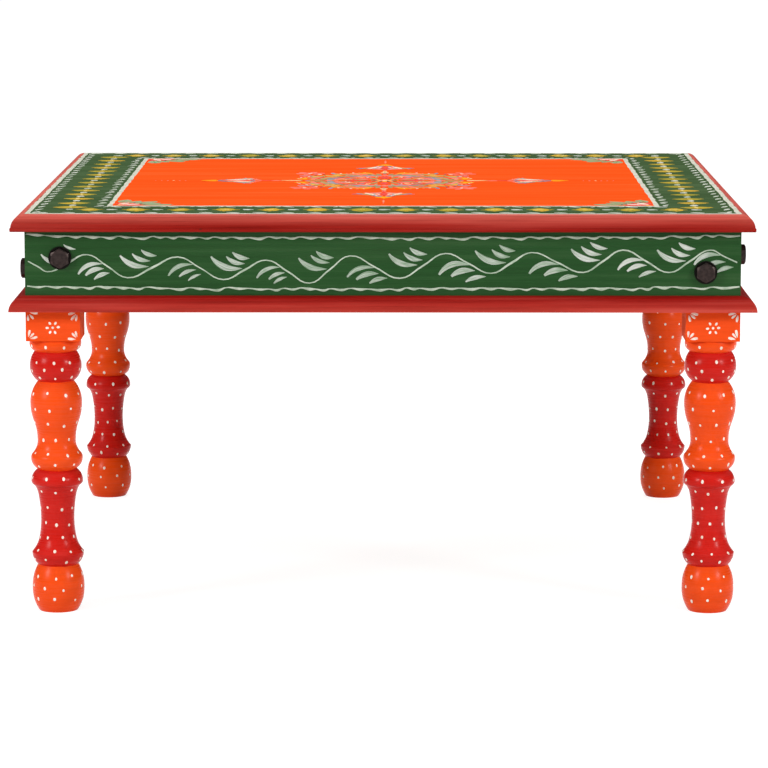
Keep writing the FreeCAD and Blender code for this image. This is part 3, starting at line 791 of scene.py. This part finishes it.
def paint_legs():
    """White dots in staggered rows round the turning, and a flower and sprigs on a block's outer faces."""
    dot_paint = line_paint("dot_paint", DOT_WHITE, DOT_THIN)
    sprig_paint = stroke_paint("sprig_paint", DOT_WHITE, SPRIG_THIN)
    dab = paint_dab()
    sprig = brush_stroke("sprig", 0.37, 0.0, 4, 2, blunt=0.6)
    signs = ((-1, -1), (1, -1), (1, 1), (-1, 1))
    for number, (corner, (sign_x, sign_y)) in enumerate(zip(CORNERS, signs)):
        draw = random.Random(LEG_SEED + number)
        leg = frame["nodes"][f"leg_{corner}"]
        axis = Vector((sign_x * LEG_AXIS, sign_y * LEG_AXIS, 0))
        places = []
        for row, height in enumerate(DOT_ROWS):
            shift = draw.uniform(-0.15, 0.15) + (row % 2) * 0.5
            for dot in range(DOTS_ROUND):
                angle = (dot + shift + draw.uniform(-0.1, 0.1)) * math.tau / DOTS_ROUND
                outwards = Vector((math.cos(angle), math.sin(angle), 0))
                level = Vector((0, 0, (height + draw.uniform(-1.2, 1.2)) * MM))
                width = draw.uniform(1.7, 2.4) * MM
                tall = width * draw.uniform(1.05, 1.45)
                place = surface_place(leg, axis + level + outwards * 0.05, -outwards, width, tall)
                if place:
                    places.append(place)
        faces = [block_face(axis, Vector((sign_x, 0, 0))), block_face(axis, Vector((0, sign_y, 0)))]
        for face in faces:
            places += [face @ place for place in flower_places(draw)]
        join(f"leg_dots_{corner}", stamp(dab, places), dot_paint)
        sprigs = [face @ place for face in faces for place in sprig_places(draw)]
        join(f"block_sprigs_{corner}", stamp(sprig, sprigs), sprig_paint)
    remove(dab, sprig)


def block_face(axis, normal):
    """The plane of one face of a leg's block: X across, Y up from the middle, Z outwards."""
    middle = axis + normal * LEG_SQUARE / 2
    middle.z = (BLOCK_FOOT + RAIL_FOOT) / 2
    across = Vector((0, 0, 1)).cross(normal)
    return Matrix.Translation(middle) @ Matrix((across, Vector((0, 0, 1)), normal)).transposed().to_4x4()


def flower_places(draw):
    """A middle dot with petals round it, a little below the middle of the face."""
    places = [dab_place((0, -FLOWER_DROP), 2.1 * MM)]
    for petal in range(FLOWER_PETALS):
        angle = petal * math.tau / FLOWER_PETALS + draw.uniform(-0.12, 0.12)
        middle = (4.1 * MM * math.cos(angle), 3.8 * MM * math.sin(angle) - FLOWER_DROP)
        places.append(dab_place(middle, 2.7 * MM, 1.9 * MM, angle))
    return places


def sprig_places(draw):
    """Three short strokes that fan out of each corner of a block's face."""
    places = []
    half_width = LEG_SQUARE / 2 - 1.6 * MM
    half_height = (RAIL_FOOT - BLOCK_FOOT) / 2 - 1.4 * MM
    for sign_x in (-1, 1):
        for sign_y in (-1, 1):
            for fan in SPRIG_FAN:
                angle = fan + draw.uniform(-0.12, 0.12)
                way = Vector((-sign_x * math.cos(angle), -sign_y * math.sin(angle)))
                corner = Vector((sign_x * half_width, sign_y * half_height))
                head = corner + way * draw.uniform(6.2, 7.6) * MM
                places.append(stroke_place(head, corner + way * 1.7 * MM))
    return places


# The painted top

def top_plane(turn=0):
    """The face of the top: X and Y in plan, turned to a side of the table, Z up."""
    return Matrix.Translation((0, 0, TOP)) @ Matrix.Rotation(turn * QUARTER, 4, "Z")


def straight_line(draw, half_length, offset, width):
    """A hand-drawn white line along one side of the top."""
    points = []
    half_widths = []
    steps = round(half_length / (9 * MM))
    for step in range(-steps, steps + 1):
        points.append((half_length * step / steps, -offset + draw.uniform(-0.35, 0.35) * MM))
        half_widths.append(width / 2 * draw.uniform(0.86, 1.08))
    return painted_line("line", points, half_widths)


def paint_top_lines():
    """The white lines round the top and round its orange field."""
    lines = []
    paint = line_paint("top_lines", TOP_LINE_WHITE, TOP_LINE_THIN, MATT)
    for turn in range(len(SIDES)):
        draw = random.Random(TOP_LINE_SEED + turn)
        for offset in (FACE - LINE_WIDTH / 2, FIELD_HALF + LINE_WIDTH / 2):
            line = straight_line(draw, offset + LINE_WIDTH * 0.35, offset, LINE_WIDTH)
            line.data.transform(top_plane(turn))
            lines.append(line)
    join("top_lines", lines, paint)


# Units of the garland along one side of the border
GARLAND_UNITS = 14
# Thick and thin paint of each colour in the border
BORDER_COLOURS = {
    "yellow": (YELLOW, OLIVE),
    "gold": (rgb(210, 166, 62), OLIVE),
    "olive": (rgb(166, 156, 58), OLIVE),
    "cream": (CREAM, YELLOW),
    "white": (rgb(214, 216, 206), rgb(160, 176, 150)),
}


def paint_border():
    """A garland with white dabs along the middle of the border, and ticks along its white lines."""
    templates = border_templates()
    painting = Painting(BORDER_SEED)
    pitch = 2 * BORDER_MIDDLE / MM / GARLAND_UNITS
    for turn in range(len(SIDES)):
        painting.plane = top_plane(turn) @ Matrix.Translation((0, -BORDER_MIDDLE, 0))
        for unit in range(GARLAND_UNITS):
            paint_garland_unit(painting, (unit - GARLAND_UNITS / 2 + 0.5) * pitch, pitch)
        paint_outer_ticks(painting)
        paint_inner_ticks(painting)
    painting.finish("border", templates, BORDER_COLOURS)
    remove(*templates.values())


def border_templates():
    """The strokes that the border is painted with."""
    return {
        "petal": brush_stroke("petal", 1.1, 0.0, 7, 2, blunt=0.6, widest=0.2),
        "leaf": brush_stroke("leaf", 0.46, 0.0, 6, 2),
        "tick": brush_stroke("tick", 0.3, 0.0, 4, 2),
    }


def paint_garland_unit(painting, along, pitch):
    """Two broad pointed petals across the middle line and two slim leaves along it, a cream touch where they
    meet, and a white dab before the next unit."""
    draw = painting.draw
    along += draw.uniform(-1.4, 1.4)
    for side in (-1, 1):
        reach = draw.uniform(10.8, 13.2)
        lean = draw.uniform(-2.2, 2.2)
        colour = ("yellow", "gold")[draw.randrange(2)]
        painting.stroke(colour, "petal", (along, 0), (along + lean, side * reach))
        painting.stroke("olive", "tick", (along - 3, side * 2), (along + lean - 0.6, side * (reach - 2.6)))
        tail = (along + side * 10.4, draw.uniform(-1.4, 1.4))
        painting.stroke("yellow", "leaf", (along + side, 0), tail)
    painting.stroke("cream", "tick", (along - 4.4, -1.2), (along + 4, 1.2), 1.3)
    spot = along + pitch * 0.5
    painting.stroke("white", "leaf", (spot - 4, 1.2), (spot + 4, -1.2), 1.5)


def paint_outer_ticks(painting):
    """Comma-like ticks inside the outer white line, clear of it."""
    base = -(FACE - LINE_WIDTH - BORDER_MIDDLE) / MM + 2.2
    for along in tick_places(BORDER_MIDDLE / MM + 18, 20):
        painting.stroke("white", "tick", (along + 5, base), (along - 5, base + 4.8), 1.0)


def paint_inner_ticks(painting):
    """Pairs of ticks round the inner white line, each pair with its point towards the line."""
    base = (BORDER_MIDDLE - FIELD_HALF - LINE_WIDTH) / MM - 2.4
    for along in tick_places(FIELD_HALF / MM, 21):
        reach = painting.draw.uniform(4.6, 6.8)
        painting.stroke("white", "tick", (along, base), (along + 8, base - reach), 0.95)
        painting.stroke("white", "tick", (along - 2, base - 0.6), (along - 5.4, base - reach + 1.4), 0.8)


def tick_places(half_length, pitch):
    """Even places along a side, in millimetres from its middle."""
    count = round(2 * half_length / pitch)
    return [half_length * (2 * index / count - 1) for index in range(count + 1)]


# Colours from the first painted to the last, and how much higher each lies
LAYERS = ("blue", "mist", "leaf", "sage", "yellow", "pink", "gold", "olive", "teal", "rose", "cream",
          "white", "ink")
LAYER_LIFT = 0.02 * MM
# How far the ends of a stroke may miss their places, in millimetres
SHAKE = 0.5
# Strokes whose mirror image is another stroke
MIRRORED = {"left": "right", "right": "left"}


class Painting:
    """Strokes of many colours on the top, gathered by colour before each colour is joined into one piece.
    They are laid on the plane that is set, in millimetres."""

    def __init__(self, seed):
        self.draw = random.Random(seed)
        self.marks = {}
        self.plane = top_plane()

    def add(self, colour, kind, place):
        self.marks.setdefault(colour, []).append((kind, self.plane @ place))

    def shake(self):
        return Vector((self.draw.uniform(-SHAKE, SHAKE), self.draw.uniform(-SHAKE, SHAKE)))

    def stroke(self, colour, kind, head, tail, width=1.0):
        """A stroke between two points, a little unsteady, as a hand leaves it."""
        ends = [(Vector(end) + self.shake()) * MM for end in (head, tail)]
        self.add(colour, kind, stroke_place(*ends, width * self.draw.uniform(0.9, 1.1)))

    def pair(self, colour, kind, head, tail, width=1.0):
        """A stroke and its mirror image on the other side of the Y axis of the plane."""
        self.stroke(colour, kind, head, tail, width)
        self.stroke(colour, MIRRORED.get(kind, kind), (-head[0], head[1]), (-tail[0], tail[1]), width)

    def dot(self, colour, middle, size):
        self.add(colour, "dab", dab_place(Vector(middle) * MM, size * MM * self.draw.uniform(0.85, 1.15)))

    def dot_pair(self, colour, middle, size):
        self.dot(colour, middle, size)
        self.dot(colour, (-middle[0], middle[1]), size)

    def finish(self, name, templates, colours):
        """Join each colour, with those painted later lying a little higher."""
        for layer, colour in enumerate(sorted(self.marks, key=LAYERS.index)):
            lift = Matrix.Translation((0, 0, layer * LAYER_LIFT))
            pieces = []
            for kind, place in self.marks[colour]:
                pieces += stamp(templates[kind], [lift @ place])
            paint = stroke_paint(f"{name}_{colour}", *colours[colour], MATT)
            join(f"{name}_{colour}", pieces, paint)


def field_templates():
    """The strokes that the field's ornament is painted with."""
    return {
        "slim": brush_stroke("slim", 0.2, 0.0, 6, 2),
        "drop": brush_stroke("drop", 0.46, 0.0, 6, 2),
        "left": brush_stroke("left", 0.22, math.radians(62), 7, 2),
        "right": brush_stroke("right", 0.22, math.radians(-62), 7, 2),
        "dab": paint_dab(),
    }


# Thick and thin paint of each colour in the field
FIELD_COLOURS = {
    "white": (rgb(248, 232, 218), rgb(246, 190, 160)),
    "gold": (GOLD, rgb(250, 136, 30)),
    "pink": (PINK, rgb(252, 108, 76)),
    "rose": (ROSE, rgb(234, 84, 60)),
    "blue": (BLUE, SLATE),
    "teal": (TEAL, SAGE),
    "sage": (SAGE, rgb(186, 146, 92)),
    "leaf": (LEAF, rgb(146, 128, 72)),
    "mist": (MIST, rgb(160, 150, 104)),
    "cream": (rgb(244, 206, 150), rgb(246, 160, 96)),
    "ink": (rgb(70, 52, 60), SLATE),
}


def heading(degrees):
    """A step of one millimetre in a direction on the top."""
    angle = math.radians(degrees)
    return Vector((math.cos(angle), math.sin(angle)))


def paint_rosette(painting):
    """A quarter of the rosette: gold and cream petals, then rose and pink ones, with leaves between."""
    painting.stroke("gold", "drop", (0, 13.5), (0, 3))
    painting.stroke("cream", "drop", (8.5, 8.5), (2.5, 2.5), 0.8)
    painting.pair("ink", "slim", (4.6, 12.5), (2.4, 6.5), 0.9)
    painting.stroke("rose", "drop", (0, 36), (0, 17), 0.9)
    painting.stroke("pink", "slim", (0, 33), (0, 21), 1.2)
    painting.stroke("pink", "drop", (24, 24), (11.5, 11.5))
    painting.stroke("rose", "slim", (21, 21), (13, 13), 1.2)
    painting.pair("sage", "drop", (13, 29), (6.5, 15), 0.7)
    painting.pair("teal", "slim", (11.5, 25), (7.5, 17), 0.9)
    painting.dot_pair("white", (7.5, 37), 2.2)
    painting.dot_pair("white", (16.5, 33.5), 2.2)
    painting.dot("white", (27, 27), 2.6)


def paint_rings(painting):
    """A quarter of the rings round the rosette: grey, pink and sage arcs, then gold ones edged with dots."""
    painting.pair("blue", "right", (2, 52), (37, 38), 0.75)
    painting.pair("pink", "right", (3, 46), (31, 34), 0.75)
    for fan in range(1, 8):
        way = Vector((math.sin(fan * QUARTER / 8), math.cos(fan * QUARTER / 8)))
        painting.stroke(("blue", "sage", "cream")[fan % 3], "slim", way * 47, way * 33, 1.1)
        painting.stroke(("pink", "sage", "blue")[fan % 3], "drop", way * 68, way * 54, 0.55)
    painting.pair("sage", "left", (40, 45), (5, 60), 0.75)
    painting.pair("pink", "right", (10, 68), (38, 58), 0.8)
    painting.pair("gold", "right", (13, 76), (35, 72), 0.95)
    painting.pair("gold", "right", (36, 69), (51, 55), 0.95)
    painting.pair("sage", "left", (46, 58), (20, 70), 0.8)
    for step in range(6):
        spot = (19 + 6 * step, 83 - 0.6 * step * step)
        painting.dot_pair("pink" if step % 2 else "white", spot, 2.6)


def paint_arm(painting):
    """The leaves along an arm, from the rings to the bud on its stalk."""
    painting.stroke("pink", "drop", (0, 49), (0, 37), 0.9)
    painting.pair("teal", "slim", (9, 47), (6, 39), 1.2)
    painting.pair("sage", "drop", (6, 61), (3, 48), 0.6)
    painting.pair("leaf", "drop", (14, 60), (9, 48), 0.6)
    painting.pair("gold", "drop", (17, 71), (10, 58), 0.8)
    painting.pair("pink", "drop", (27, 64), (19, 55), 0.9)
    painting.pair("blue", "slim", (36, 60), (26, 52), 1.2)
    painting.dot("blue", (0, 62), 4)
    painting.stroke("sage", "slim", (0, 66), (0, 85), 0.9)
    painting.pair("cream", "right", (3, 67), (1.5, 83), 0.6)
    painting.stroke("pink", "drop", (0, 91), (0, 82), 0.9)
    painting.stroke("rose", "slim", (0, 99), (0, 89))


def paint_palmette(painting):
    """The palmette at the end of an arm, with its wings, then a gold drop and a tail of dots."""
    painting.pair("blue", "right", (3, 104), (24.5, 112), 0.95)
    painting.pair("pink", "right", (2, 99), (16, 103.5))
    painting.pair("cream", "right", (5, 107.5), (17, 112), 0.45)
    painting.pair("blue", "left", (6, 108), (0.6, 135), 0.95)
    painting.pair("pink", "left", (4, 108), (0.8, 127), 0.8)
    painting.pair("white", "slim", (5.4, 112), (2.2, 124), 0.55)
    painting.pair("sage", "slim", (18, 108), (7, 126), 0.9)
    painting.pair("white", "slim", (14, 105), (5, 128), 0.7)
    painting.pair("blue", "slim", (21, 107), (10, 122), 1.0)
    painting.stroke("rose", "drop", (0, 106), (0, 124), 0.6)
    painting.pair("teal", "slim", (10, 113), (9, 124), 0.9)
    painting.dot_pair("ink", (7.5, 127), 2.2)
    painting.stroke("gold", "drop", (0, 134), (0, 148), 1.4)
    painting.pair("gold", "slim", (5.6, 135), (2, 145), 1.4)
    for step, size in enumerate((1.4, 1.8, 2.2, 1.7, 1.3, 1.1)):
        painting.dot("cream" if step == 2 else "pink", (0, 160 + 4.8 * step), size)


def paint_blossom(painting):
    """The pink blossom on the diagonal with its eye, on a pair of leaves."""
    blossom = Vector((63, 61))
    for petal in range(6):
        way = heading(60 * petal + 45)
        painting.stroke("pink", "drop", blossom + way * 12, blossom + way * 2, 1.3)
        painting.stroke("rose", "slim", blossom + way * 9, blossom + way * 3.5)
    painting.dot("white", blossom, 3.6)
    painting.dot("white", (54, 53), 3.6)
    outwards = Vector((1, 1))
    for sideways in (Vector((-1, 1)), Vector((1, -1))):
        painting.dot("ink", outwards * 53 + sideways * 3.4, 2.4)
        painting.stroke("sage", "drop", outwards * 50 + sideways * 11, outwards * 44 + sideways * 4, 0.7)
        painting.stroke("blue", "slim", outwards * 56 + sideways * 13, outwards * 48 + sideways * 7, 1.2)
        painting.stroke("gold", "drop", outwards * 45 + sideways * 3, outwards * 36 + sideways * 2, 0.7)
    painting.stroke("sage", "slim", (49, 49), (30, 30), 0.8)


def paint_field_corner(painting):
    """A quarter of a flower in a corner of the field, where X and Y are positive, in a fan of leaves."""
    corner = Vector((FIELD_HALF, FIELD_HALF)) / MM - Vector((2, 2))
    for degrees, length in ((9, 42), (27, 36), (45, 41), (63, 36), (81, 42)):
        way = -heading(degrees)
        painting.stroke("mist", "drop", corner + way * length, corner + way * 19, 1.05)
        painting.stroke("leaf", "slim", corner + way * (length - 4), corner + way * 20, 1.1)
        painting.stroke("teal", "slim", corner + way * (length + 1.5), corner + way * (length - 8), 1.3)
    for degrees, colour in ((10, "rose"), (27, "white"), (45, "rose"), (63, "white"), (80, "rose")):
        way = -heading(degrees)
        painting.stroke(colour, "drop", corner + way * 20, corner + way * 5, 0.8)
        painting.stroke("pink", "slim", corner + way * 16, corner + way * 8)
    for degrees in (18, 36, 54, 72):
        painting.dot("ink", corner - heading(degrees) * 23, 2.0)
    painting.dot("gold", corner - Vector((2.5, 2.5)), 4.4)


# How large the rosette and its rings are painted, against the sizes that they are drawn at
ROSETTE_SCALE = 0.84


def paint_field():
    """The medallion and the corner fans on the orange field."""
    templates = field_templates()
    painting = Painting(FIELD_SEED)
    for turn in range(len(SIDES)):
        painting.plane = top_plane(turn) @ Matrix.Diagonal((ROSETTE_SCALE, ROSETTE_SCALE, 1, 1))
        for paint_part in (paint_rosette, paint_rings):
            paint_part(painting)
        painting.plane = top_plane(turn)
        for paint_part in (paint_arm, paint_palmette, paint_blossom, paint_field_corner):
            paint_part(painting)
    painting.plane = top_plane()
    painting.dot("white", (0, 0), 5)
    painting.finish("field", templates, FIELD_COLOURS)
    remove(*templates.values())


dress_cad_nodes()
paint_rails()
paint_legs()
paint_top_lines()
paint_border()
paint_field()


# Floor, light and camera

# How pale the floor is to the light that falls on it and to the eye, and how much it glows to the eye
FLOOR_LIT = (0.8, 0.8, 0.8, 1)
FLOOR_SEEN = (0.34, 0.34, 0.34, 1)
FLOOR_GLOW = 0.86
# How strong the sky is at the horizon and overhead, and how fast it grows in between
SKY_LOW = 0.03
SKY_HIGH = 0.84
SKY_GROWTH = 1.5
PLAIN_WHITE = (1, 1, 1, 1)


def pale_floor():
    """A pale floor that stays white to the eye and still takes a soft shadow."""
    deselect_all()
    bpy.ops.mesh.primitive_plane_add(size=120)
    floor = bpy.context.object
    floor.name = "floor"
    material = bpy.data.materials.new("floor_paper")
    material.use_nodes = True
    material.node_tree.nodes.clear()
    graph = Graph(material.node_tree)
    path = graph.add("ShaderNodeLightPath")
    mirrored = graph.math("MAXIMUM", path.outputs["Is Glossy Ray"], path.outputs["Is Transmission Ray"])
    seen = graph.math("MAXIMUM", path.outputs["Is Camera Ray"], mirrored)
    colour = graph.mix(seen, FLOOR_LIT, FLOOR_SEEN)
    paper = graph.add("ShaderNodeBsdfDiffuse", {"Color": colour})
    strength = graph.math("MULTIPLY", seen, FLOOR_GLOW)
    glow = graph.add("ShaderNodeEmission", {"Color": PLAIN_WHITE, "Strength": strength})
    both = graph.add("ShaderNodeAddShader")
    graph.feed(both.inputs[0], paper.outputs[0])
    graph.feed(both.inputs[1], glow.outputs[0])
    graph.feed(graph.add("ShaderNodeOutputMaterial").inputs["Surface"], both.outputs[0])
    floor.data.materials.append(material)


def studio_world():
    """Soft light from all round, stronger from above than from the horizon."""
    world = bpy.data.worlds.new("studio")
    bpy.context.scene.world = world
    world.use_nodes = True
    world.node_tree.nodes.clear()
    graph = Graph(world.node_tree)
    way = graph.add("ShaderNodeTexCoord").outputs["Generated"]
    rise = graph.math("POWER", graph.math("MAXIMUM", graph.parts(way)[2], 0.0), SKY_GROWTH)
    strength = graph.remap(rise, 0.0, 1.0, SKY_LOW, SKY_HIGH)
    sky = graph.add("ShaderNodeBackground", {"Color": PLAIN_WHITE, "Strength": strength})
    graph.feed(graph.add("ShaderNodeOutputWorld").inputs["Surface"], sky.outputs[0])


# Where each lamp stands and how wide it is, in metres, and its power in watts
LAMPS = {
    "overhead": ((0.0, -0.4, 2.4), 1.2, 14),
    "left_softbox": ((-2.0, -1.6, 1.15), 0.6, 30),
    "right_softbox": ((2.0, -1.8, 1.1), 0.5, 28),
    "back_softbox": ((0.0, 2.0, 2.1), 0.8, 22),
}
LAMPS_POINT_AT = Vector((0, 0, 0.2))


def soft_lamp(name, spot, size, power):
    """A large square lamp that points at the table."""
    lamp = bpy.data.lights.new(name, "AREA")
    lamp.shape = "SQUARE"
    lamp.size = size
    lamp.energy = power
    holder = bpy.data.objects.new(name, lamp)
    bpy.context.scene.collection.objects.link(holder)
    holder.location = spot
    holder.rotation_euler = (LAMPS_POINT_AT - Vector(spot)).to_track_quat("-Z", "Y").to_euler()


# The camera's lens, place, and how far it looks down and turns, in degrees
LENS = 173.7
CAMERA_SPOT = Vector((14.0, -2972.7, 575.6)) * MM
LOOKS_DOWN = 8.435
TURNS_LEFT = 0.277


def photo_camera():
    """The camera at the photograph's angle: a long lens, a little above the table."""
    camera = bpy.data.cameras.new("camera")
    camera.sensor_width = 36
    camera.lens = LENS
    camera.clip_end = 200
    holder = bpy.data.objects.new("camera", camera)
    bpy.context.scene.collection.objects.link(holder)
    holder.location = CAMERA_SPOT
    holder.rotation_euler = (math.radians(90 - LOOKS_DOWN), 0, math.radians(TURNS_LEFT))
    bpy.context.scene.camera = holder


pale_floor()
studio_world()
for lamp_name, lamp_values in LAMPS.items():
    soft_lamp(lamp_name, *lamp_values)
photo_camera()
bpy.context.scene.view_settings.view_transform = "Standard"
